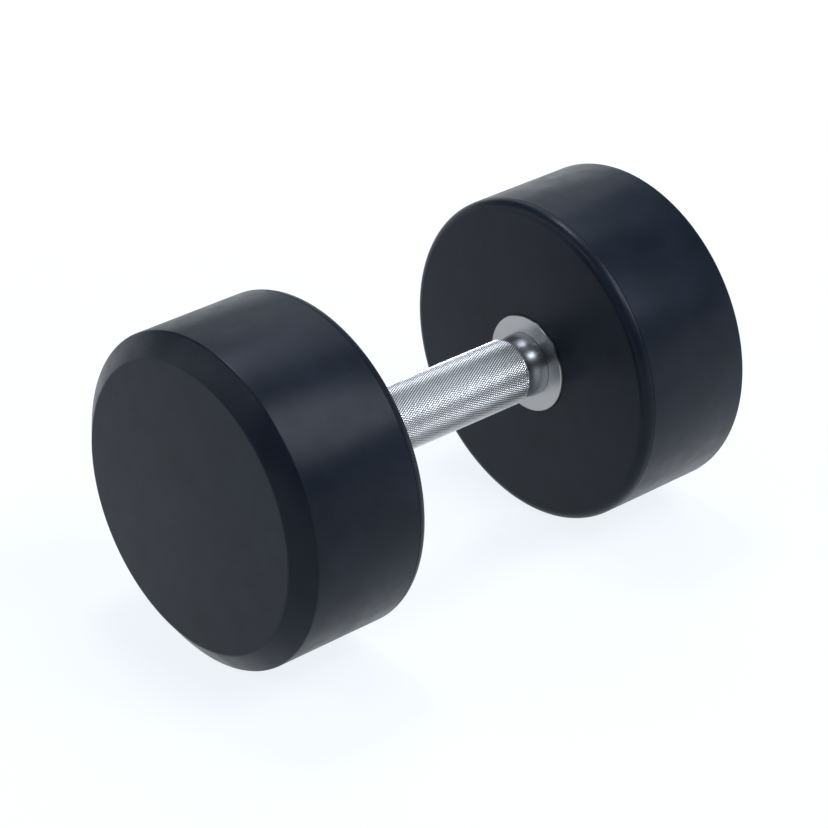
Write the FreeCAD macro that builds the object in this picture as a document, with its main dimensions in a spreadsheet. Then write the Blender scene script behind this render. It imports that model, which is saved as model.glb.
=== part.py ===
import FreeCAD, Part
import math
import os
import Sketcher

# A fixed dumbbell with round rubber-covered heads. It lies along X with the middle of its grip on
# the origin, +Z up. Lengths are millimetres, angles degrees. Right is +X, left is -X.

SIZES = {
    # heads, as they are seen
    "head_diameter": 160,
    "head_length": 71.5,
    "hand_gap": 134.5,
    "face_bevel_width": 10.5,
    "face_bevel_depth": 8,
    "inner_edge_radius": 5,
    "rubber_wall": 8,
    # handle, one turned steel bar
    "grip_diameter": 32,
    "grip_length": 108,
    "grip_end_bevel": 0.6,
    "neck_diameter": 30.2,
    "shoulder_diameter": 31.2,
    "shoulder_flare_length": 5,
    "spigot_diameter": 26,
    "spigot_setback": 2,
    "spigot_end_bevel": 1.5,
    # collars, the bright rings against the rubber
    "collar_flange_diameter": 48,
    "collar_flange_thickness": 3.5,
    "collar_stand_out": 1.2,
    "collar_hub_diameter": 36,
    "collar_edge_bevel": 0.8,
    "collar_clearance": 0.25,
    # castings inside the heads
    "core_key_count": 4,
    "core_key_diameter": 24,
    "core_key_depth": 5,
    # spring pins through casting and spigot
    "pin_diameter": 8,
    "pin_wall": 1.6,
    "pin_length": 60,
    "pin_slot_width": 1.5,
    # how far a cutting shape runs past what it cuts
    "cut_overrun": 5,
}

doc = FreeCAD.newDocument("round_head_dumbbell")
sheet = doc.addObject("Spreadsheet::Sheet", "Sizes")
for row, (alias, value) in enumerate(SIZES.items(), start=1):
    sheet.set("A%d" % row, alias)
    sheet.set("B%d" % row, str(value))
    sheet.setAlias("B%d" % row, alias)
doc.recompute()

HEAD_RADIUS = "Sizes.head_diameter / 2"
INNER_FACE = "Sizes.hand_gap / 2"
OUTER_FACE = "(Sizes.hand_gap / 2 + Sizes.head_length)"
CORE_RADIUS = "(Sizes.head_diameter / 2 - Sizes.rubber_wall)"
CORE_INNER_FACE = "(Sizes.hand_gap / 2 + Sizes.rubber_wall)"
CORE_OUTER_FACE = "(Sizes.hand_gap / 2 + Sizes.head_length - Sizes.rubber_wall)"
HEAD_MIDDLE = "(Sizes.hand_gap / 2 + Sizes.head_length / 2)"
SHOULDER = "(Sizes.hand_gap / 2 - Sizes.collar_stand_out)"
SPIGOT_END = "(Sizes.hand_gap / 2 + Sizes.head_length - Sizes.rubber_wall - Sizes.spigot_setback)"

SIDES = {"right": 0, "left": 180}   # turn about Z that carries a right-hand piece to its side
ROUNDING_STEPS = 3                  # straight steps that the small inner rounding is turned in


def bind(thing, **properties):
    # A double underscore in a property's name stands for the dot of a nested one.
    for name, expression in properties.items():
        thing.setExpression(name.replace("__", "."), expression)


def new_body(label):
    body = doc.addObject("PartDesign::Body", label)
    body.Label = label
    return body


def origin_feature(body, role):
    return next(each for each in body.Origin.OriginFeatures if each.Role == role)


def turned(body, name, corners):
    # Revolves an outline about X. Each corner is (place along X, radius) as expressions, and "0" puts
    # it on an axis. The corners start round a rough ring, and their constraints carry them home.
    sketch = body.newObject("Sketcher::SketchObject", name + "_outline")
    sketch.AttachmentSupport = (origin_feature(body, "XY_Plane"), [""])
    sketch.MapMode = "FlatFace"
    rough_radius = sheet.head_diameter / 2
    rough = []
    for index in range(len(corners)):
        turn = 2 * math.pi * index / len(corners)
        rough.append(FreeCAD.Vector(rough_radius * math.cos(turn), rough_radius * math.sin(turn), 0))
    for index, start in enumerate(rough):
        end = rough[(index + 1) % len(rough)]
        sketch.addGeometry(Part.LineSegment(start, end), False)
    for index in range(len(corners)):
        sketch.addConstraint(Sketcher.Constraint("Coincident", index, 2, (index + 1) % len(corners), 1))
    horizontal_axis, vertical_axis = -1, -2
    for index, (along, radius) in enumerate(corners):
        for kind, expression, axis in (("DistanceX", along, vertical_axis), ("DistanceY", radius, horizontal_axis)):
            if expression == "0":
                sketch.addConstraint(Sketcher.Constraint("PointOnObject", index, 1, axis))
            else:
                added = sketch.addConstraint(Sketcher.Constraint(kind, -1, 1, index, 1, rough_radius))
                sketch.setExpression("Constraints[%d]" % added, expression)
    revolution = body.newObject("PartDesign::Revolution", name)
    revolution.Profile = sketch
    revolution.ReferenceAxis = (sketch, ["H_Axis"])
    revolution.Angle = 360
    sketch.Visibility = False
    doc.recompute()
    return revolution


def ring_edge(feature, along, radius):
    # Name of the circular edge at a place along X with a radius, both in millimetres.
    def miss(index):
        edge = feature.Shape.Edges[index]
        if not isinstance(edge.Curve, Part.Circle):
            return math.inf
        return math.hypot(edge.Curve.Center.x - along, edge.Curve.Radius - radius)
    return "Edge%d" % (min(range(len(feature.Shape.Edges)), key=miss) + 1)


def dressed(body, kind, name, feature, edges, **properties):
    # A fillet or chamfer on named edges of the feature before it.
    dressing = body.newObject("PartDesign::" + kind, name)
    dressing.Base = (feature, edges)
    bind(dressing, **properties)
    doc.recompute()
    return dressing


def pin_bore(body, name, bottom, height):
    # Cuts the pin's bore upwards from bottom, square to the bar at the middle of the head.
    bore = body.newObject("PartDesign::SubtractiveCylinder", name)
    bind(bore, Radius="Sizes.pin_diameter / 2", Height=height)
    bind(bore, Placement__Base__x=HEAD_MIDDLE, Placement__Base__z=bottom)
    doc.recompute()
    return bore


def handle_bar():
    # Half the bar is turned from its middle to its right end, bored for the pin, and mirrored.
    body = new_body("handle_bar")
    grip, neck, shoulder = ("Sizes.%s_diameter / 2" % part for part in ("grip", "neck", "shoulder"))
    spigot = "Sizes.spigot_diameter / 2"
    grip_end = "Sizes.grip_length / 2"
    half = turned(body, "half_bar", [
        ("0", "0"),
        ("0", grip),
        (grip_end + " - Sizes.grip_end_bevel", grip),
        (grip_end, grip + " - Sizes.grip_end_bevel"),
        (grip_end, neck),
        (SHOULDER + " - Sizes.shoulder_flare_length", neck),
        (SHOULDER, shoulder),
        (SHOULDER, spigot),
        (SPIGOT_END + " - Sizes.spigot_end_bevel", spigot),
        (SPIGOT_END, spigot + " - Sizes.spigot_end_bevel"),
        (SPIGOT_END, "0"),
    ])
    overrun = "(Sizes.spigot_diameter / 2 + Sizes.cut_overrun)"
    bore = pin_bore(body, "bar_pin_bore", "-" + overrun, "2 * " + overrun)
    mirrored = body.newObject("PartDesign::Mirrored", "whole_bar")
    mirrored.Originals = [half, bore]
    mirrored.MirrorPlane = (origin_feature(body, "YZ_Plane"), [""])
    body.Tip = mirrored
    doc.recompute()
    return body


def collar(side, turn):
    # A turned ring: its flange covers the rubber's edge, and its hub reaches through to the casting.
    body = new_body(side + "_collar")
    flange, hub = "Sizes.collar_flange_diameter / 2", "Sizes.collar_hub_diameter / 2"
    bore = "Sizes.spigot_diameter / 2"
    flange_back = SHOULDER + " + Sizes.collar_flange_thickness"
    ring = turned(body, "ring", [
        (SHOULDER, bore),
        (SHOULDER, flange),
        (flange_back, flange),
        (flange_back, hub),
        (CORE_INNER_FACE, hub),
        (CORE_INNER_FACE, bore),
    ])
    front = sheet.hand_gap / 2 - sheet.collar_stand_out
    rim = ring_edge(ring, front, sheet.collar_flange_diameter / 2)
    dressed(body, "Chamfer", "flange_bevel", ring, [rim], Size="Sizes.collar_edge_bevel")
    body.Placement.Rotation = FreeCAD.Rotation(FreeCAD.Vector(0, 0, 1), turn)
    return body


def head_core(side, turn):
    # An iron disc pressed on the spigot. Scallops across its rim key the rubber, so that it can't turn.
    body = new_body(side + "_head_core")
    bore = "Sizes.spigot_diameter / 2"
    turned(body, "disc", [
        (CORE_INNER_FACE, bore),
        (CORE_INNER_FACE, CORE_RADIUS),
        (CORE_OUTER_FACE, CORE_RADIUS),
        (CORE_OUTER_FACE, bore),
    ])
    scallop = body.newObject("PartDesign::SubtractiveCylinder", "rim_scallop")
    scallop.Placement.Rotation = FreeCAD.Rotation(FreeCAD.Vector(0, 1, 0), 90)
    bind(scallop, Radius="Sizes.core_key_diameter / 2")
    bind(scallop, Height="Sizes.head_length - 2 * Sizes.rubber_wall + 2 * Sizes.cut_overrun")
    bind(scallop, Placement__Base__x=CORE_INNER_FACE + " - Sizes.cut_overrun")
    key_centre = "(" + CORE_RADIUS + " + Sizes.core_key_diameter / 2 - Sizes.core_key_depth)"
    bind(scallop, Placement__Base__y=key_centre + " * cos(45)", Placement__Base__z=key_centre + " * sin(45)")
    doc.recompute()
    scallops = body.newObject("PartDesign::PolarPattern", "rim_scallops")
    scallops.Originals = [scallop]
    scallops.Axis = (origin_feature(body, "X_Axis"), [""])
    scallops.Angle = 360
    bind(scallops, Occurrences="Sizes.core_key_count")
    body.Tip = scallops
    doc.recompute()
    pin_bore(body, "core_pin_bore", "-Sizes.pin_length / 2",
             "Sizes.pin_length / 2 + " + CORE_RADIUS + " + Sizes.cut_overrun")
    body.Placement.Rotation = FreeCAD.Rotation(FreeCAD.Vector(0, 0, 1), turn)
    return body


def pin_blank(side, turn):
    # The pin's outer form, a rod along Z through the middle of the head.
    rod = doc.addObject("Part::Cylinder", side + "_pin_rod")
    bind(rod, Radius="Sizes.pin_diameter / 2", Height="Sizes.pin_length")
    bind(rod, Placement__Base__z="-Sizes.pin_length / 2")
    bind(rod, Placement__Base__x=("" if turn == 0 else "-") + HEAD_MIDDLE)
    doc.recompute()
    return rod


def cross_pin(side, turn, rod):
    # A rolled spring pin: a sleeve with a slot along it that lets it close as it is driven in.
    middle = ("" if turn == 0 else "-") + HEAD_MIDDLE
    hollow = doc.addObject("Part::Cylinder", side + "_pin_hollow")
    bind(hollow, Radius="Sizes.pin_diameter / 2 - Sizes.pin_wall")
    bind(hollow, Height="Sizes.pin_length + 2 * Sizes.cut_overrun")
    slot = doc.addObject("Part::Box", side + "_pin_slot")
    bind(slot, Length="Sizes.pin_diameter / 2 + Sizes.cut_overrun", Width="Sizes.pin_slot_width")
    bind(slot, Height="Sizes.pin_length + 2 * Sizes.cut_overrun")
    bind(slot, Placement__Base__y="-Sizes.pin_slot_width / 2")
    for cutter in (hollow, slot):
        bind(cutter, Placement__Base__x=middle)
        bind(cutter, Placement__Base__z="-Sizes.pin_length / 2 - Sizes.cut_overrun")
    inside = doc.addObject("Part::Fuse", side + "_pin_inside")
    inside.Base = hollow
    inside.Tool = slot
    pin = doc.addObject("Part::Cut", side + "_cross_pin")
    pin.Base = rod
    pin.Tool = inside
    doc.recompute()
    return pin


def rubber_cover(side, turn, core, bar, rod):
    # Rubber moulded over the casting: bevelled outside, rounded inside, with a seat and hole for the collar.
    body = new_body(side + "_rubber_blank")
    hole = "Sizes.collar_hub_diameter / 2 + Sizes.collar_clearance"
    seat = "Sizes.collar_flange_diameter / 2 + Sizes.collar_clearance"
    seat_floor = SHOULDER + " + Sizes.collar_flange_thickness"
    # The inner rounding is small, so straight steps along its arc stand for it.
    rounding = []
    for step in range(ROUNDING_STEPS + 1):
        turned_by = math.pi / 2 * step / ROUNDING_STEPS
        along_share, inwards_share = 1 - math.cos(turned_by), 1 - math.sin(turned_by)
        rounding.append((INNER_FACE + " + Sizes.inner_edge_radius * %.5f" % along_share,
                         HEAD_RADIUS + " - Sizes.inner_edge_radius * %.5f" % inwards_share))
    turned(body, "blank", [
        (CORE_INNER_FACE, "0"),
        (CORE_INNER_FACE, hole),
        (seat_floor, hole),
        (seat_floor, seat),
        (INNER_FACE, seat),
        *rounding,
        (OUTER_FACE + " - Sizes.face_bevel_depth", HEAD_RADIUS),
        (OUTER_FACE, HEAD_RADIUS + " - Sizes.face_bevel_width"),
        (OUTER_FACE, "0"),
    ])
    body.Placement.Rotation = FreeCAD.Rotation(FreeCAD.Vector(0, 0, 1), turn)
    doc.recompute()
    last = body
    for name, inner in (("_over_core", core), ("_over_spigot", bar), ("_cover", rod)):
        cover = doc.addObject("Part::Cut", side + "_rubber" + name)
        cover.Base = last
        cover.Tool = inner
        last = cover
    doc.recompute()
    return last


bar = handle_bar()
pieces = [bar]
for side, turn in SIDES.items():
    core = head_core(side, turn)
    rod = pin_blank(side, turn)
    pieces += [collar(side, turn), core, cross_pin(side, turn, rod), rubber_cover(side, turn, core, bar, rod)]
doc.recompute()

for thing in doc.Objects:
    if "Invalid" in thing.State or "Error" in thing.State:
        raise RuntimeError("failed: " + thing.Label)
    if thing.TypeId.startswith("PartDesign::Subtractive"):
        if thing.Shape.Volume >= thing.BaseFeature.Shape.Volume:
            raise RuntimeError("cut nothing: " + thing.Label)

os.makedirs("parts", exist_ok=True)
for piece in pieces:
    shape = piece.Shape
    if shape.isNull() or not shape.isValid() or len(shape.Solids) != 1:
        raise RuntimeError("bad shape: " + piece.Label)
    box = shape.BoundBox
    print("%-20s volume %10.1f  x %7.2f to %7.2f" % (piece.Label, shape.Volume, box.XMin, box.XMax))
    shape.exportStep("parts/%s.step" % piece.Label)
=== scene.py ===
import math
import bpy
import bmesh
from mathutils import Matrix, Vector


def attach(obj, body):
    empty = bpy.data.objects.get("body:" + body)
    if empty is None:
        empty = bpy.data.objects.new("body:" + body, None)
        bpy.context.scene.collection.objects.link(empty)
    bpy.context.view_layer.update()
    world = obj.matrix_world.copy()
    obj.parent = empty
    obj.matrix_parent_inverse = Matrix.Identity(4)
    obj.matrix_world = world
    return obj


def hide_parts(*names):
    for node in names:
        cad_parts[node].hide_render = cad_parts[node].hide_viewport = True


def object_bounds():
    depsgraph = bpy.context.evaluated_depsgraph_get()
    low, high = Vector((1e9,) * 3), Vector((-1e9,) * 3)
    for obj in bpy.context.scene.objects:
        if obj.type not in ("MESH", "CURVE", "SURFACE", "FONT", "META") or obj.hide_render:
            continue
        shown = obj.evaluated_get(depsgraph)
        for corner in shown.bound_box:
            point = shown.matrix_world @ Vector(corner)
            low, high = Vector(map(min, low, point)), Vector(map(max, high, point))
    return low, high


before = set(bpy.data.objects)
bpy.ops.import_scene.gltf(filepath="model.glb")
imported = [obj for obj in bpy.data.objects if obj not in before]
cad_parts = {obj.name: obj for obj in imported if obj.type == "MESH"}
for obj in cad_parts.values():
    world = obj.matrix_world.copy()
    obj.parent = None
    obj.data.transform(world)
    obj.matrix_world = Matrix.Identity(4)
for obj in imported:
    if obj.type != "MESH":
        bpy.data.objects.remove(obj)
cad_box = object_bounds()
MM = 0.001

# Camera
# The picture is taken from in front and to the left, above the heads, with a long lens.
# Its place and lens are those that put the heads' rims on the photographed ones.
VIEW_AZIMUTH, VIEW_ELEVATION = math.radians(-41.708), math.radians(28.786)
VIEW_DISTANCE = 1608.6 * MM
AIM_LEFT, AIM_BELOW = 3.74 * MM, 2.85 * MM
LENS, SENSOR = 150.9, 36
scene = bpy.context.scene
scene.view_settings.view_transform = "Standard"
back = Vector((
    math.sin(VIEW_AZIMUTH) * math.cos(VIEW_ELEVATION),
    -math.cos(VIEW_AZIMUTH) * math.cos(VIEW_ELEVATION),
    math.sin(VIEW_ELEVATION),
))
right = Vector((math.cos(VIEW_AZIMUTH), math.sin(VIEW_AZIMUTH), 0))
up = back.cross(right)
aim = -AIM_LEFT * right - AIM_BELOW * up
lens = bpy.data.cameras.new("camera")
lens.lens = LENS
lens.sensor_width = SENSOR
camera = bpy.data.objects.new("camera", lens)
facing = Matrix((right, up, back)).transposed().to_4x4()
camera.matrix_world = Matrix.Translation(aim + VIEW_DISTANCE * back) @ facing
scene.collection.objects.link(camera)
scene.camera = camera

# Floor
# A wide sheet of white paper under the two heads. The camera and the reflections see mostly a cool glow
# of it, just bright enough to be pure white in the picture. Its lit share keeps the dumbbell's shadow,
# and fades out with the distance from the middle.
FLOOR_SIZE = 12
LIT_SHARE = 0.18
LIT_TO, WHITE_FROM = 0.12, 0.5
PAPER, PAPER_ROUGHNESS, PAPER_SHINE = (0.9, 0.9, 0.9), 0.9, 0.1
GLOW_WHITE, GLOW_STRENGTH = (0.91, 0.955, 1), 1.1
floor_height = cad_box[0][2]


def deselect_all():
    for each in bpy.context.selected_objects:
        each.select_set(False)


def new_material(name):
    """A material of nodes, with its nodes, its links and its main shader."""
    material = bpy.data.materials.new(name)
    material.use_nodes = True
    nodes = material.node_tree.nodes
    return material, nodes, material.node_tree.links, nodes["Principled BSDF"]


def new_node(nodes, kind, **settings):
    """Adds a shader node of a kind, with the settings given by name."""
    node = nodes.new("ShaderNode" + kind)
    for name, value in settings.items():
        setattr(node, name, value)
    return node


def combined(nodes, links, operation, first, *others):
    """Joins outputs two by two with a math operation."""
    for other in others:
        step = new_node(nodes, "Math", operation=operation)
        links.new(first, step.inputs[0])
        links.new(other, step.inputs[1])
        first = step.outputs[0]
    return first


deselect_all()
bpy.ops.mesh.primitive_plane_add(size=FLOOR_SIZE, location=(0, 0, floor_height))
floor = bpy.context.object
floor.name = "floor"
paper, nodes, links, shader = new_material("white_paper")
shader.inputs["Base Color"].default_value = (*PAPER, 1)
shader.inputs["Roughness"].default_value = PAPER_ROUGHNESS
shader.inputs["Specular IOR Level"].default_value = PAPER_SHINE
glow = new_node(nodes, "Emission")
glow.inputs["Color"].default_value = (*GLOW_WHITE, 1)
glow.inputs["Strength"].default_value = GLOW_STRENGTH
ray = new_node(nodes, "LightPath")
seen = combined(
    nodes, links, "MAXIMUM",
    ray.outputs["Is Camera Ray"], ray.outputs["Is Glossy Ray"], ray.outputs["Is Transmission Ray"])
place = new_node(nodes, "TexCoord")
from_middle = new_node(nodes, "VectorMath", operation="LENGTH")
whiter = new_node(nodes, "MapRange", interpolation_type="SMOOTHSTEP")
whiter.inputs["From Min"].default_value = LIT_TO
whiter.inputs["From Max"].default_value = WHITE_FROM
whiter.inputs["To Min"].default_value = 1 - LIT_SHARE
blend = new_node(nodes, "MixShader")
links.new(place.outputs["Object"], from_middle.inputs[0])
links.new(from_middle.outputs["Value"], whiter.inputs["Value"])
links.new(combined(nodes, links, "MULTIPLY", seen, whiter.outputs[0]), blend.inputs["Fac"])
links.new(shader.outputs[0], blend.inputs[1])
links.new(glow.outputs[0], blend.inputs[2])
links.new(blend.outputs[0], nodes["Material Output"].inputs["Surface"])
floor.data.materials.append(paper)

# Light
# A dim room that is white round the horizon but dark behind the camera, as in a photographer's studio.
# A tall soft box stands at the front right, and wider and weaker ones at the left and behind. The small
# lamps overhead and in front are the round highlights on the neck. All of them give a cool white.
ROOM_LIGHT, HORIZON_LIGHT = 0.08, 1.1
COOL_WHITE = (0.88, 0.93, 1)
HORIZON_TOP, FADE_TOP = math.sin(math.radians(6.8)), math.sin(math.radians(12))
DARK_SIDE, DARK_SIDE_END = math.cos(math.radians(18)), math.cos(math.radians(38))
world = bpy.data.worlds.new("studio")
scene.world = world
world.use_nodes = True
nodes, links = world.node_tree.nodes, world.node_tree.links
look = new_node(nodes, "TexCoord")
parts = new_node(nodes, "SeparateXYZ")
low_down = new_node(nodes, "MapRange", interpolation_type="SMOOTHSTEP")
low_down.inputs["From Min"].default_value = HORIZON_TOP
low_down.inputs["From Max"].default_value = FADE_TOP
low_down.inputs["To Min"].default_value = HORIZON_LIGHT
low_down.inputs["To Max"].default_value = ROOM_LIGHT
towards_camera = new_node(nodes, "VectorMath", operation="DOT_PRODUCT")
towards_camera.inputs[1].default_value = (math.sin(VIEW_AZIMUTH), -math.cos(VIEW_AZIMUTH), 0)
dark_side = new_node(nodes, "MapRange", interpolation_type="SMOOTHSTEP")
dark_side.inputs["From Min"].default_value = DARK_SIDE_END
dark_side.inputs["From Max"].default_value = DARK_SIDE
dark_side.inputs["To Min"].default_value = 1
dark_side.inputs["To Max"].default_value = ROOM_LIGHT
links.new(look.outputs["Generated"], parts.inputs[0])
links.new(look.outputs["Generated"], towards_camera.inputs[0])
links.new(parts.outputs["Z"], low_down.inputs["Value"])
links.new(towards_camera.outputs["Value"], dark_side.inputs["Value"])
links.new(
    combined(nodes, links, "MULTIPLY", low_down.outputs[0], dark_side.outputs[0]),
    nodes["Background"].inputs["Strength"])
nodes["Background"].inputs["Color"].default_value = (*GLOW_WHITE, 1)


def soft_box(name, place, width, height, power):
    """A flat lamp turned to the middle of the grip, with lengths in metres and its power in watts."""
    data = bpy.data.lights.new(name, "AREA")
    data.shape = "RECTANGLE"
    data.size, data.size_y = width, height
    data.color = COOL_WHITE
    data.energy = power
    lamp = bpy.data.objects.new(name, data)
    lamp.location = place
    lamp.rotation_euler = (-Vector(place)).to_track_quat("-Z", "Y").to_euler()
    scene.collection.objects.link(lamp)


soft_box("key_box", (0.8, -1.1, 1.46), 0.7, 1.3, 21)
soft_box("left_box", (-1.5, 0.6, 1.1), 1.3, 0.7, 4)
soft_box("left_spot", (-1.3, 0.1, 1.25), 0.25, 0.25, 1.5)
soft_box("left_back_box", (-1.2, 1.2, 0.7), 0.8, 0.8, 3.4)
soft_box("high_right_box", (0.97, 0.5, 1.68), 0.9, 0.9, 4.6)
soft_box("right_back_box", (1.0, 1.24, 1.15), 1.0, 0.8, 3.6)
soft_box("low_back_box", (0.9, 1.3, 0.35), 0.9, 0.4, 0.5)
soft_box("overhead_spot", (0.2, 0.46, 1.66), 0.46, 0.46, 13)
soft_box("front_spot", (0.13, -1.12, 1.49), 0.32, 0.32, 6)

# Handle bar
# One steel bar turned on a lathe. Its grip is rolled between two knurling wheels, which press crossing
# grooves and leave rows of small diamonds. Its thinner ends are driven into the castings and pinned.
GRIP_HALF, GRIP_CREST, GRIP_ROOT = 54 * MM, 16 * MM, 15.55 * MM
WAIST, SHOULDER, SPIGOT = 14.3 * MM, 15.6 * MM, 13 * MM
SHOULDER_FACE = 66.05 * MM
FLARE_START, FLARE_END, FLARE_STEPS = 55.6 * MM, 64 * MM, 14
SHOULDER_BREAK = 0.3 * MM
SPIGOT_END, SPIGOT_BEVEL = 128.75 * MM, 1.5 * MM
PIN_PLACE, PIN_RADIUS, PIN_SEGMENTS = 103 * MM, 4 * MM, 32
KNURL_LINES, KNURL_ROWS = 85, 48
KNURL_DEPTH = GRIP_CREST - GRIP_ROOT
LOWER_FLANK, UPPER_FLANK, LOWER_DEPTH_SHARE = 0.21 * MM, 0.2 * MM, 0.64
CUT_DIAMOND_SHARE = 0.55
BAR_SMOOTH_ANGLE = 25
ALONG_X = (0, math.pi / 2, 0)
NEAR = 0.01 * MM


def turned_blank(name, middle, length, radius, segments, ends):
    """A round bar or disc along X, as the lathe gets it."""
    deselect_all()
    bpy.ops.mesh.primitive_cylinder_add(
        vertices=segments, radius=radius, depth=length, end_fill_type=ends,
        location=(middle, 0, 0), rotation=ALONG_X)
    piece = bpy.context.object
    piece.name = name
    bpy.ops.object.transform_apply(location=True, rotation=True, scale=True)
    return piece


def take_up(piece):
    """Makes the piece the only selected one and the active one."""
    deselect_all()
    piece.select_set(True)
    bpy.context.view_layer.objects.active = piece


def edit(piece):
    take_up(piece)
    bpy.ops.object.mode_set(mode="EDIT")


def pick(kind, test):
    """In edit mode, selects the edges or faces that pass the test and nothing else."""
    bpy.ops.mesh.select_mode(type="EDGE" if kind == "edges" else "FACE")
    bpy.ops.mesh.select_all(action="DESELECT")
    mesh = bmesh.from_edit_mesh(bpy.context.edit_object.data)
    for each in getattr(mesh, kind):
        if test(each):
            each.select_set(True)
    mesh.select_flush_mode()
    bmesh.update_edit_mesh(bpy.context.edit_object.data)


def off_axis(point):
    return math.hypot(point.y, point.z)


def on_ring(along, radius):
    """A test for what lies on the circle round X at a place and radius."""
    return lambda each: all(
        abs(v.co.x - along) < NEAR and abs(off_axis(v.co) - radius) < NEAR for v in each.verts)


def draw_end_out(side, stations):
    """Carries the ring at one end of the bar outwards through (place, radius) stations, and caps it."""
    place, radius = stations[0]
    pick("edges", on_ring(side * place, radius))
    for next_place, next_radius in stations[1:]:
        bpy.ops.mesh.extrude_region_move()
        shrink = next_radius / radius
        bpy.ops.transform.resize(value=(next_place / place, shrink, shrink), center_override=(0, 0, 0))
        place, radius = next_place, next_radius
    bpy.ops.mesh.edge_face_add()


def cut_away(piece, tool):
    """Cuts the tool's shape out of the piece, and removes the tool."""
    cut = piece.modifiers.new("cut", "BOOLEAN")
    cut.operation = "DIFFERENCE"
    cut.solver = "EXACT"
    cut.object = tool
    take_up(piece)
    bpy.ops.object.modifier_apply(modifier=cut.name)
    bpy.data.objects.remove(tool)


def drill(piece, segments, radius, length, middle, rotation=(0, 0, 0)):
    """Cuts a round hole out of the piece, along Z unless it is rotated."""
    deselect_all()
    bpy.ops.mesh.primitive_cylinder_add(
        vertices=segments, radius=radius, depth=length, location=middle, rotation=rotation)
    cut_away(piece, bpy.context.object)


def turn_faces_out(piece):
    """Merges what lies in the same place, and turns every face outwards."""
    edit(piece)
    bpy.ops.mesh.select_all(action="SELECT")
    bpy.ops.mesh.remove_doubles(threshold=NEAR / 10)
    bpy.ops.mesh.normals_make_consistent(inside=False)
    bpy.ops.object.mode_set(mode="OBJECT")


def smooth(piece, degrees):
    """Shades the piece smooth across edges that turn by less than the angle."""
    take_up(piece)
    bpy.ops.object.shade_smooth_by_angle(angle=math.radians(degrees))


bar = turned_blank("dressed_handle_bar", 0, 2 * GRIP_HALF, GRIP_ROOT, KNURL_LINES, "NOTHING")
flare = []
for step in range(FLARE_STEPS + 1):
    share = step / FLARE_STEPS
    swell = (1 - math.cos(math.pi * share)) / 2 * (SHOULDER - WAIST)
    flare.append((FLARE_START + share * (FLARE_END - FLARE_START), WAIST + swell))
step_down = GRIP_ROOT - WAIST
edit(bar)
for side in (-1, 1):
    draw_end_out(side, [
        (GRIP_HALF, GRIP_ROOT),
        (GRIP_HALF + step_down / 2, WAIST + step_down / 4),
        (GRIP_HALF + step_down, WAIST),
        *flare,
        (SHOULDER_FACE - SHOULDER_BREAK, SHOULDER),
        (SHOULDER_FACE, SHOULDER - SHOULDER_BREAK),
        (SHOULDER_FACE, SPIGOT),
        (SPIGOT_END - SPIGOT_BEVEL, SPIGOT),
        (SPIGOT_END, SPIGOT - SPIGOT_BEVEL),
    ])
bpy.ops.object.mode_set(mode="OBJECT")
turn_faces_out(bar)
for side in (-1, 1):
    drill(bar, PIN_SEGMENTS, PIN_RADIUS, 4 * SPIGOT, (side * PIN_PLACE, 0, 0))

# the knurl: the grip's grid of faces is poked, its own lines are dissolved, and each diamond is raised
edit(bar)
pick("edges", lambda edge: abs(abs(edge.verts[0].co.x - edge.verts[1].co.x) - 2 * GRIP_HALF) < NEAR)
bpy.ops.mesh.subdivide(number_cuts=KNURL_ROWS - 1)


def on_grip(each):
    """A test for what lies on the grip, also the middles of its flat faces, which lie a little lower."""
    return all(
        abs(v.co.x) < GRIP_HALF + NEAR and off_axis(v.co) > (GRIP_ROOT + WAIST) / 2 for v in each.verts)


def grid_line(edge):
    """A test for the lines of the grip's own grid, apart from its two rims."""
    first, second = (v.co for v in edge.verts)
    runs_round = abs(second.x - first.x) < NEAR
    runs_along = (second - first).yz.length < NEAR
    on_rim = on_ring(-GRIP_HALF, GRIP_ROOT)(edge) or on_ring(GRIP_HALF, GRIP_ROOT)(edge)
    return on_grip(edge) and not on_rim and (runs_round or runs_along)


pick("faces", on_grip)
bpy.ops.mesh.poke()
pick("edges", grid_line)
bpy.ops.mesh.dissolve_edges(use_verts=False)
flanks = (
    (LOWER_FLANK, KNURL_DEPTH * LOWER_DEPTH_SHARE),
    (UPPER_FLANK, KNURL_DEPTH * (1 - LOWER_DEPTH_SHARE)),
)
for corners, share in ((4, 1), (3, CUT_DIAMOND_SHARE)):
    pick("faces", lambda face: (
        len(face.verts) == corners and off_axis(face.calc_center_median()) < GRIP_ROOT and on_grip(face)))
    for width, rise in flanks:
        bpy.ops.mesh.inset(thickness=share * width, depth=share * rise, use_individual=True)
bpy.ops.object.mode_set(mode="OBJECT")
smooth(bar, BAR_SMOOTH_ANGLE)


def noise(nodes, links, size, detail=2.0):
    """A cloudy pattern fixed to the piece, with blots of about the given size."""
    place = new_node(nodes, "TexCoord")
    cloud = new_node(nodes, "TexNoise")
    cloud.inputs["Scale"].default_value = 1 / size
    cloud.inputs["Detail"].default_value = detail
    links.new(place.outputs["Object"], cloud.inputs["Vector"])
    return cloud.outputs["Fac"]


def put(links, value, socket):
    """Gives a socket another node's output, a colour or a number."""
    if isinstance(value, bpy.types.NodeSocket):
        links.new(value, socket)
    else:
        socket.default_value = (*value, 1) if isinstance(value, tuple) else value


def between(nodes, links, factor, low, high):
    """The factor's 0 to 1 carried to a range of numbers."""
    ranged = new_node(nodes, "MapRange")
    put(links, factor, ranged.inputs["Value"])
    put(links, low, ranged.inputs["To Min"])
    put(links, high, ranged.inputs["To Max"])
    return ranged.outputs[0]


def colour_between(nodes, links, factor, low, high):
    """The factor's 0 to 1 carried from one colour to another."""
    mixed = new_node(nodes, "Mix", data_type="RGBA")
    put(links, factor, mixed.inputs["Factor"])
    put(links, low, mixed.inputs[6])
    put(links, high, mixed.inputs[7])
    return mixed.outputs[2]


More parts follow.
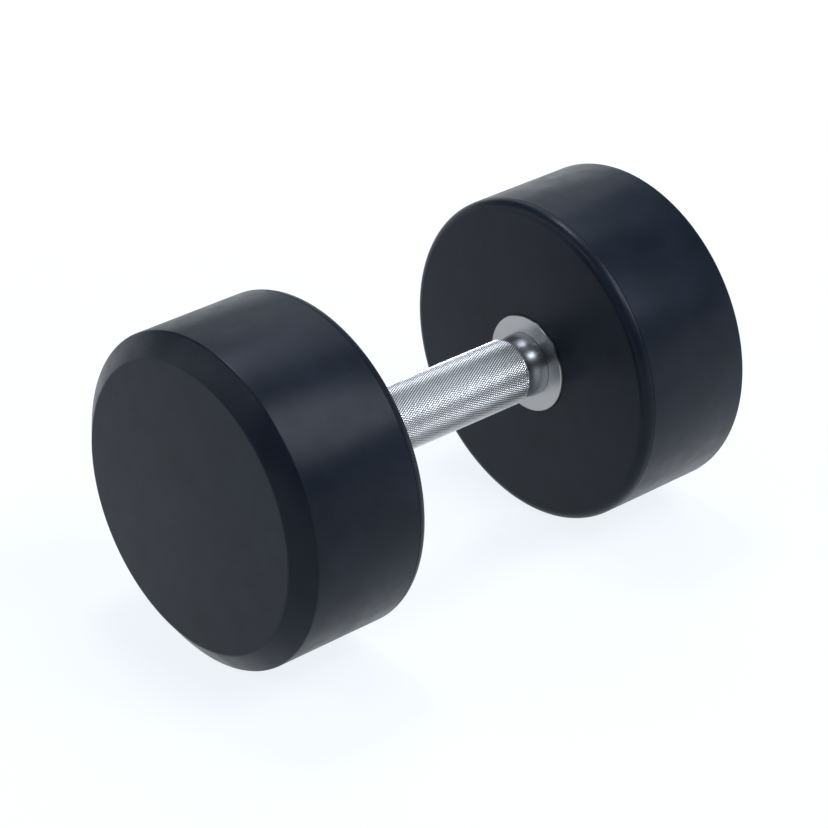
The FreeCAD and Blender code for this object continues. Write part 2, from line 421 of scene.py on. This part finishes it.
def relief(nodes, links, shader, height, depth, strength=1.0):
    """Raises and lowers the surface by the height pattern, to the depth given."""
    bump = new_node(nodes, "Bump")
    bump.inputs["Strength"].default_value = strength
    bump.inputs["Distance"].default_value = depth
    links.new(height, bump.inputs["Height"])
    links.new(bump.outputs[0], shader.inputs["Normal"])


def distance_from_axis(nodes, links):
    place = new_node(nodes, "TexCoord")
    across = new_node(nodes, "VectorMath", operation="MULTIPLY")
    across.inputs[1].default_value = (0, 1, 1)
    length = new_node(nodes, "VectorMath", operation="LENGTH")
    links.new(place.outputs["Object"], across.inputs[0])
    links.new(across.outputs[0], length.inputs[0])
    return length.outputs["Value"]


def lathe_rings(nodes, links, kind, pitch):
    """The lathe's marks: bands along the bar, or rings on a face square to it."""
    place = new_node(nodes, "TexCoord")
    marks = new_node(nodes, "TexWave", wave_type=kind)
    if kind == "BANDS":
        marks.bands_direction = "X"
    else:
        marks.rings_direction = "X"
    marks.inputs["Scale"].default_value = WAVE_AT_SCALE_1 / pitch
    marks.inputs["Distortion"].default_value = LATHE_WOBBLE
    links.new(place.outputs["Object"], marks.inputs["Vector"])
    return marks.outputs["Fac"]


def multiplied(nodes, links, value, factor):
    product = new_node(nodes, "Math", operation="MULTIPLY")
    product.inputs[1].default_value = factor
    links.new(value, product.inputs[0])
    return product.outputs[0]


def turned_marks(nodes, links, shader, stretch, kind, pitch):
    """Fine marks that run round the bar's axis, and the stretch they give to reflections across them."""
    grain = new_node(nodes, "Tangent", direction_type="RADIAL", axis="X")
    links.new(grain.outputs[0], shader.inputs["Tangent"])
    put(links, stretch, shader.inputs["Anisotropic"])
    shader.inputs["Anisotropic Rotation"].default_value = QUARTER_TURN
    relief(nodes, links, shader, lathe_rings(nodes, links, kind, pitch), LATHE_DEPTH, LATHE_STRENGTH)


def make_of(piece, material):
    """Gives the piece this material and no other."""
    piece.data.materials.clear()
    piece.data.materials.append(material)


WAVE_AT_SCALE_1 = math.pi / 10  # metres from one band of the wave texture to the next
QUARTER_TURN = 0.25
LATHE_PITCH, LATHE_DEPTH, LATHE_STRENGTH, LATHE_WOBBLE = 0.15 * MM, 0.002 * MM, 0.4, 0.6
# The knurl's colour holds painted shade: it darkens from the crests down into the grooves, and bands
# along one set of slanting groove lines are painted almost black.
CREST_STEEL, PAINTED_GROOVE_SHADE, NECK_STEEL = (0.86, 0.875, 0.90), (0.24, 0.25, 0.27), (0.48, 0.50, 0.54)
PAINTED_LINE_SHADE, LINE_SHADE_FROM_SHARE, LINE_SHADE_TO_SHARE = (0.02, 0.022, 0.026), 0.28, 0.43
SHADE_FADE_SHARE = 0.6
WEAR_SIZE, GRIP_ROUGHNESS = 1.5 * MM, (0.32, 0.44)
NECK_ROUGHNESS, NECK_STRETCH = 0.3, 0.2
bar_steel, nodes, links, shader = new_material("bright_turned_steel")
shader.inputs["Metallic"].default_value = 1
# painted shade that grows from the crests down into the grooves, by the distance from the axis
height = new_node(nodes, "MapRange")
height.inputs["From Min"].default_value = GRIP_ROOT
height.inputs["From Max"].default_value = GRIP_ROOT + KNURL_DEPTH * SHADE_FADE_SHARE
links.new(distance_from_axis(nodes, links), height.inputs["Value"])
place = new_node(nodes, "TexCoord")
along = new_node(nodes, "SeparateXYZ")
size_along = new_node(nodes, "Math", operation="ABSOLUTE")
beside_grip = new_node(nodes, "Math", operation="GREATER_THAN")
beside_grip.inputs[1].default_value = GRIP_HALF + NEAR
links.new(place.outputs["Object"], along.inputs[0])
links.new(along.outputs["X"], size_along.inputs[0])
links.new(size_along.outputs[0], beside_grip.inputs[0])
beside_grip = beside_grip.outputs[0]
turn = new_node(nodes, "Math", operation="ARCTAN2")
links.new(along.outputs["Z"], turn.inputs[0])
links.new(along.outputs["Y"], turn.inputs[1])
lines_round = multiplied(nodes, links, turn.outputs[0], KNURL_LINES / (2 * math.pi))
rows_along = multiplied(nodes, links, along.outputs["X"], KNURL_ROWS / (2 * GRIP_HALF))
in_line = new_node(nodes, "Math", operation="FRACT")
links.new(combined(nodes, links, "ADD", lines_round, rows_along), in_line.inputs[0])
off_middle = new_node(nodes, "Math", operation="SUBTRACT")
off_middle.inputs[1].default_value = 0.5
links.new(in_line.outputs[0], off_middle.inputs[0])
near_groove = new_node(nodes, "Math", operation="ABSOLUTE")
links.new(off_middle.outputs[0], near_groove.inputs[0])
# painted shade in bands along one set of slanting groove lines, almost black
painted_line_shade = new_node(nodes, "MapRange", interpolation_type="SMOOTHSTEP")
painted_line_shade.inputs["From Min"].default_value = LINE_SHADE_FROM_SHARE
painted_line_shade.inputs["From Max"].default_value = LINE_SHADE_TO_SHARE
links.new(near_groove.outputs[0], painted_line_shade.inputs["Value"])
knurl_steel_and_shade = colour_between(nodes, links, height.outputs[0], PAINTED_GROOVE_SHADE, CREST_STEEL)
knurl_steel_and_shade = colour_between(nodes, links, painted_line_shade.outputs[0], knurl_steel_and_shade, PAINTED_LINE_SHADE)
steel = colour_between(nodes, links, beside_grip, knurl_steel_and_shade, NECK_STEEL)
links.new(steel, shader.inputs["Base Color"])
wear = between(nodes, links, noise(nodes, links, WEAR_SIZE), *GRIP_ROUGHNESS)
links.new(between(nodes, links, beside_grip, wear, NECK_ROUGHNESS), shader.inputs["Roughness"])
turned_marks(
    nodes, links, shader, between(nodes, links, beside_grip, 0.0, NECK_STRETCH), "BANDS", LATHE_PITCH)
make_of(bar, bar_steel)
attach(bar, "root")
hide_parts("handle_bar")

# Collars
# A turned steel ring on each side: its flange hides the edge of the rubber, and its hub reaches the
# casting, where the bar's shoulder clamps it. It keeps the lathe's fine rings, and its rim is rounded.
FLANGE, HUB, COLLAR_BORE = 24 * MM, 18 * MM, 13 * MM
FLANGE_THICKNESS, RIM_BEVEL = 3.5 * MM, 0.8 * MM
CORE_FACE = 75.25 * MM
RING_SEGMENTS, RIM_STEPS, RIM_FULLNESS, COLLAR_SMOOTH_ANGLE = 160, 3, 0.6, 35
STAIN_SIZE, DARK_SATIN, LIGHT_SATIN = 0.6 * MM, (0.29, 0.293, 0.299), (0.42, 0.418, 0.419)
SATIN_CLOUD, SATIN_ROUGHNESS, SATIN_STRETCH = 4 * MM, (0.28, 0.36), 0.8

collar = turned_blank(
    "dressed_right_collar", SHOULDER_FACE + FLANGE_THICKNESS / 2, FLANGE_THICKNESS, FLANGE,
    RING_SEGMENTS, "NGON")


def cap_at(along):
    """A test for what lies square to X at a place."""
    return lambda each: all(abs(v.co.x - along) < NEAR for v in each.verts)


def disc_at(along, radius):
    """A test for the faces that lie square to X at a place and within a radius."""
    return lambda face: cap_at(along)(face) and all(off_axis(v.co) < radius + NEAR for v in face.verts)


edit(collar)
pick("edges", on_ring(SHOULDER_FACE, FLANGE))
bpy.ops.mesh.bevel(offset=RIM_BEVEL, segments=RIM_STEPS, profile=RIM_FULLNESS, affect="EDGES")
pick("faces", disc_at(SHOULDER_FACE, FLANGE - RIM_BEVEL))
bpy.ops.mesh.inset(thickness=FLANGE - RIM_BEVEL - COLLAR_BORE)
bpy.ops.mesh.delete(type="FACE")
pick("faces", cap_at(SHOULDER_FACE + FLANGE_THICKNESS))
bpy.ops.mesh.inset(thickness=FLANGE - HUB)
bpy.ops.mesh.extrude_region_move(
    TRANSFORM_OT_translate={"value": (CORE_FACE - SHOULDER_FACE - FLANGE_THICKNESS, 0, 0)})
bpy.ops.mesh.inset(thickness=HUB - COLLAR_BORE)
bpy.ops.mesh.delete(type="FACE")
pick("edges", lambda edge: edge.is_boundary)
bpy.ops.mesh.bridge_edge_loops()
bpy.ops.object.mode_set(mode="OBJECT")
turn_faces_out(collar)
smooth(collar, COLLAR_SMOOTH_ANGLE)


def other_side(piece, name):
    """A mirrored copy with its own mesh, turned the right way out again."""
    twin = piece.copy()
    twin.data = piece.data.copy()
    twin.name = name
    twin.data.name = name
    scene.collection.objects.link(twin)
    edit(twin)
    bpy.ops.mesh.select_all(action="SELECT")
    bpy.ops.transform.resize(value=(-1, 1, 1), center_override=(0, 0, 0))
    bpy.ops.mesh.flip_normals()
    bpy.ops.object.mode_set(mode="OBJECT")
    return twin


satin_steel, nodes, links, shader = new_material("satin_turned_steel")
shader.inputs["Metallic"].default_value = 1
stain = noise(nodes, links, STAIN_SIZE, detail=4)
links.new(colour_between(nodes, links, stain, DARK_SATIN, LIGHT_SATIN), shader.inputs["Base Color"])
cloud = noise(nodes, links, SATIN_CLOUD)
links.new(between(nodes, links, cloud, *SATIN_ROUGHNESS), shader.inputs["Roughness"])
turned_marks(nodes, links, shader, SATIN_STRETCH, "RINGS", LATHE_PITCH)
left_collar = other_side(collar, "dressed_left_collar")
for piece, node in ((collar, "right_collar"), (left_collar, "left_collar")):
    make_of(piece, satin_steel)
    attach(piece, "root")
    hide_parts(node)

# Rubber covers
# Black rubber moulded over each casting. The mould leaves a sharp bevel at the end, a soft rounding
# towards the hand, a fine line where its halves meet, and a faint seam across the inner face.
HEAD, INNER_FACE, OUTER_FACE = 79.99 * MM, 67.25 * MM, 138.75 * MM
BEVEL_WIDTH, BEVEL_DEPTH = 10.5 * MM, 8 * MM
ROUNDING, FACE_EDGE, BEVEL_EDGE = 5 * MM, 0.7 * MM, 0.7 * MM
ROUNDING_STEPS, FACE_EDGE_STEPS, BEVEL_EDGE_STEPS = 10, 5, 3
PART_LINE = INNER_FACE + ROUNDING + 4 * NEAR
PART_LINE_WIDTH, PART_LINE_DEPTH = 0.35 * MM, 0.2 * MM
SEAT, HOLE = 24.25 * MM, 18.25 * MM
SEAM_WIDTH, SEAM_HEIGHT = 0.5 * MM, 0.12 * MM
CORE, CORE_BACK = 72 * MM, 130.75 * MM
SCALLOP, SCALLOP_DEPTH, SCALLOPS = 12 * MM, 5 * MM, 4
PIN_TOP = 30 * MM
HEAD_SEGMENTS, CORE_SEGMENTS, SCALLOP_SEGMENTS, COVER_SMOOTH_ANGLE = 256, 128, 48, 30
RUBBER_SHINE, SHINE_TINT = 0.143, (0.57, 0.60, 0.68)
SKIN_GLOSS, SKIN_ROUGHNESS = 0.07, 0.22
CLOUD_SIZE, DARK_RUBBER, GREY_RUBBER = 22 * MM, (0.0030, 0.0055, 0.0095), (0.0130, 0.0188, 0.0305)
SHEEN_SIZE, RUBBER_ROUGHNESS = 9 * MM, (0.25, 0.48)
GRAIN_SIZE, GRAIN_DEPTH, GRAIN_STRENGTH = 0.9 * MM, 0.05 * MM, 0.6

cover = turned_blank(
    "dressed_right_cover", (INNER_FACE + OUTER_FACE) / 2, OUTER_FACE - INNER_FACE, HEAD,
    HEAD_SEGMENTS, "NGON")
edit(cover)
pick("faces", cap_at(OUTER_FACE))
bpy.ops.mesh.inset(thickness=BEVEL_WIDTH)
pick("edges", on_ring(OUTER_FACE, HEAD))
bpy.ops.transform.translate(value=(-BEVEL_DEPTH, 0, 0))
pick("edges", on_ring(OUTER_FACE, HEAD - BEVEL_WIDTH))
bpy.ops.mesh.bevel(offset=FACE_EDGE, segments=FACE_EDGE_STEPS, affect="EDGES")
pick("edges", on_ring(OUTER_FACE - BEVEL_DEPTH, HEAD))
bpy.ops.mesh.bevel(offset=BEVEL_EDGE, segments=BEVEL_EDGE_STEPS, affect="EDGES")
pick("edges", on_ring(INNER_FACE, HEAD))
bpy.ops.mesh.bevel(offset=ROUNDING, segments=ROUNDING_STEPS, affect="EDGES")

# the line of the mould's halves, a small groove where the rounding meets the side
for along in (0, PART_LINE_WIDTH / 2, PART_LINE_WIDTH):
    bpy.ops.mesh.select_all(action="SELECT")
    bpy.ops.mesh.bisect(plane_co=(PART_LINE + along, 0, 0), plane_no=(1, 0, 0))
groove = PART_LINE + PART_LINE_WIDTH / 2
pick("edges", on_ring(groove, HEAD))
narrow = 1 - PART_LINE_DEPTH / HEAD
bpy.ops.transform.resize(value=(1, narrow, narrow), center_override=(groove, 0, 0))

# the collar's seat and hole
pick("faces", disc_at(INNER_FACE, HEAD - ROUNDING))
bpy.ops.mesh.inset(thickness=HEAD - ROUNDING - SEAT)
bpy.ops.mesh.extrude_region_move(
    TRANSFORM_OT_translate={"value": (SHOULDER_FACE + FLANGE_THICKNESS - INNER_FACE, 0, 0)})
bpy.ops.mesh.inset(thickness=SEAT - HOLE)
bpy.ops.mesh.extrude_region_move(
    TRANSFORM_OT_translate={"value": (CORE_FACE - SHOULDER_FACE - FLANGE_THICKNESS + NEAR, 0, 0)})

# the seam across the inner face, a low ridge from rim to rim
for height in (-SEAM_WIDTH / 2, 0, SEAM_WIDTH / 2):
    pick("faces", cap_at(INNER_FACE))
    bpy.ops.mesh.bisect(plane_co=(0, 0, height), plane_no=(0, 0, 1))
pick("edges", lambda edge: cap_at(INNER_FACE)(edge) and all(
    abs(v.co.z) < NEAR and off_axis(v.co) > SEAT + NEAR for v in edge.verts))
bpy.ops.transform.translate(value=(-SEAM_HEIGHT, 0, 0))
bpy.ops.object.mode_set(mode="OBJECT")
turn_faces_out(cover)

# the room that the casting takes, with the rubber that fills its scallops and the top of its pin bore
casting_room = turned_blank(
    "casting_room", (CORE_FACE + CORE_BACK) / 2, CORE_BACK - CORE_FACE, CORE, CORE_SEGMENTS, "NGON")
edit(casting_room)
pick("faces", cap_at(CORE_BACK))
bpy.ops.mesh.inset(thickness=CORE - SPIGOT)
bpy.ops.mesh.extrude_region_move(TRANSFORM_OT_translate={"value": (SPIGOT_END - CORE_BACK, 0, 0)})
bpy.ops.object.mode_set(mode="OBJECT")
turn_faces_out(casting_room)
reach = CORE + SCALLOP - SCALLOP_DEPTH
for index in range(SCALLOPS):
    turn = 2 * math.pi * (index + 0.5) / SCALLOPS
    middle = (PIN_PLACE, reach * math.cos(turn), reach * math.sin(turn))
    drill(casting_room, SCALLOP_SEGMENTS, SCALLOP, 2 * (CORE_BACK - CORE_FACE), middle, ALONG_X)
drill(casting_room, PIN_SEGMENTS, PIN_RADIUS, CORE, (PIN_PLACE, 0, PIN_TOP + CORE / 2))
cut_away(cover, casting_room)
smooth(cover, COVER_SMOOTH_ANGLE)

rubber, nodes, links, shader = new_material("moulded_black_rubber")
shader.inputs["Specular IOR Level"].default_value = RUBBER_SHINE
shader.inputs["Specular Tint"].default_value = (*SHINE_TINT, 1)
shader.inputs["Coat Weight"].default_value = SKIN_GLOSS
shader.inputs["Coat Roughness"].default_value = SKIN_ROUGHNESS
cloud = noise(nodes, links, CLOUD_SIZE, detail=9)
links.new(colour_between(nodes, links, cloud, DARK_RUBBER, GREY_RUBBER), shader.inputs["Base Color"])
sheen = noise(nodes, links, SHEEN_SIZE, detail=8)
links.new(between(nodes, links, sheen, *RUBBER_ROUGHNESS), shader.inputs["Roughness"])
relief(nodes, links, shader, noise(nodes, links, GRAIN_SIZE, detail=4), GRAIN_DEPTH, GRAIN_STRENGTH)
left_cover = other_side(cover, "dressed_left_cover")
for piece, node in ((cover, "right_rubber_cover"), (left_cover, "left_rubber_cover")):
    make_of(piece, rubber)
    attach(piece, "root")
    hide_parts(node)

# Castings
# A disc of grey iron in each head, cast in sand with four scallops round its rim and bored for the bar.
# It is pressed on the bar's end and gives the weight. The rubber hides it.
SAND_SIZE, SAND_DEPTH, IRON_SHARE = 1.2 * MM, 0.3 * MM, 0.6
DARK_IRON, GREY_IRON, IRON_ROUGHNESS = (0.06, 0.06, 0.065), (0.13, 0.12, 0.12), (0.6, 0.85)
cast_iron, nodes, links, shader = new_material("sand_cast_iron")
shader.inputs["Metallic"].default_value = IRON_SHARE
sand = noise(nodes, links, SAND_SIZE, detail=5)
links.new(colour_between(nodes, links, sand, DARK_IRON, GREY_IRON), shader.inputs["Base Color"])
links.new(between(nodes, links, sand, *IRON_ROUGHNESS), shader.inputs["Roughness"])
relief(nodes, links, shader, sand, SAND_DEPTH)
for node in ("left_head_core", "right_head_core"):
    make_of(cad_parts[node], cast_iron)

# Spring pins
# A rolled sleeve of spring steel in each head. It is driven through the casting and the bar before the
# rubber goes on, and stops the head turning or coming off.
FILM_SIZE, MILL_SIZE, MILL_DEPTH = 3 * MM, 0.2 * MM, 0.01 * MM
OILY_STEEL, DRY_STEEL, PIN_ROUGHNESS = (0.12, 0.11, 0.12), (0.26, 0.26, 0.28), (0.28, 0.45)
spring_steel, nodes, links, shader = new_material("oiled_spring_steel")
shader.inputs["Metallic"].default_value = 1
film = noise(nodes, links, FILM_SIZE, detail=4)
links.new(colour_between(nodes, links, film, OILY_STEEL, DRY_STEEL), shader.inputs["Base Color"])
links.new(between(nodes, links, film, *PIN_ROUGHNESS), shader.inputs["Roughness"])
relief(nodes, links, shader, noise(nodes, links, MILL_SIZE), MILL_DEPTH)
for node in ("left_cross_pin", "right_cross_pin"):
    make_of(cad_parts[node], spring_steel)
